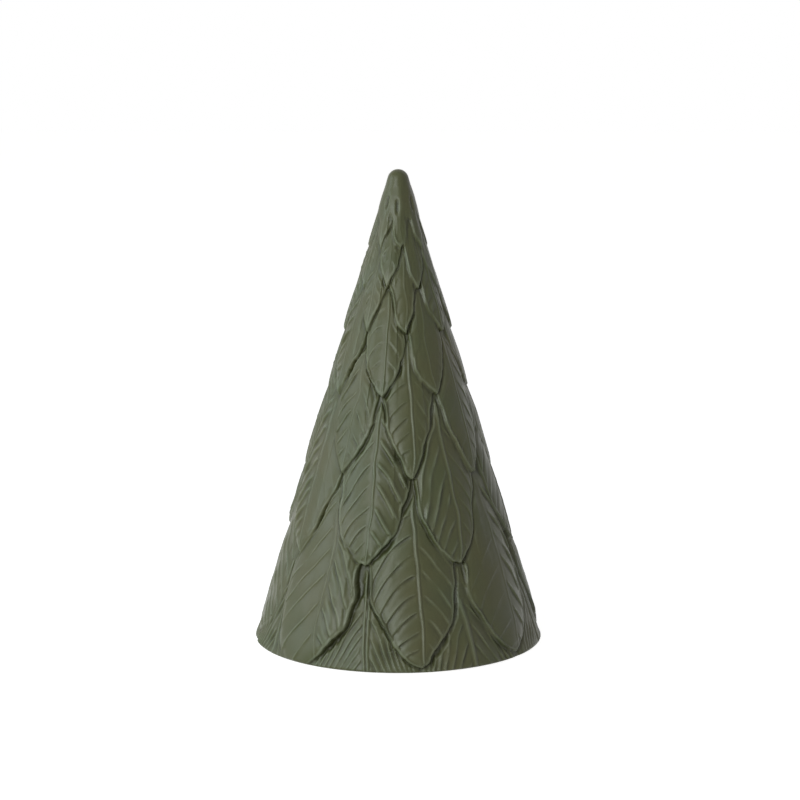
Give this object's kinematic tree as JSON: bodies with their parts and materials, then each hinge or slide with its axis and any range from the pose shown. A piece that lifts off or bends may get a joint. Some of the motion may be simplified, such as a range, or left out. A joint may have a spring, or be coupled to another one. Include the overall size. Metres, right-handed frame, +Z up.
{
  "type": "decorative tree",
  "caption": "Hollow ceramic cone tree with overlapping leaf relief and a rounded tip, open underneath, standing on small felt pads.",
  "frame": {"origin": "on the table, under the middle of the tree, at the underside of the felt pads", "axes": "+Z up along the cone's axis to its tip, -Y towards the picture's camera"},
  "size_m": [0.1488, 0.1488, 0.2412],
  "materials": {
    "olive_glaze": "matte olive green glaze",
    "pad_felt": "dark pressed felt"
  },
  "bodies": {
    "root": {"leaf_cone_casting": "olive_glaze", "felt_pad_1": "pad_felt", "felt_pad_2": "pad_felt", "felt_pad_3": "pad_felt", "felt_pad_4": "pad_felt"}
  },
  "joints": []
}
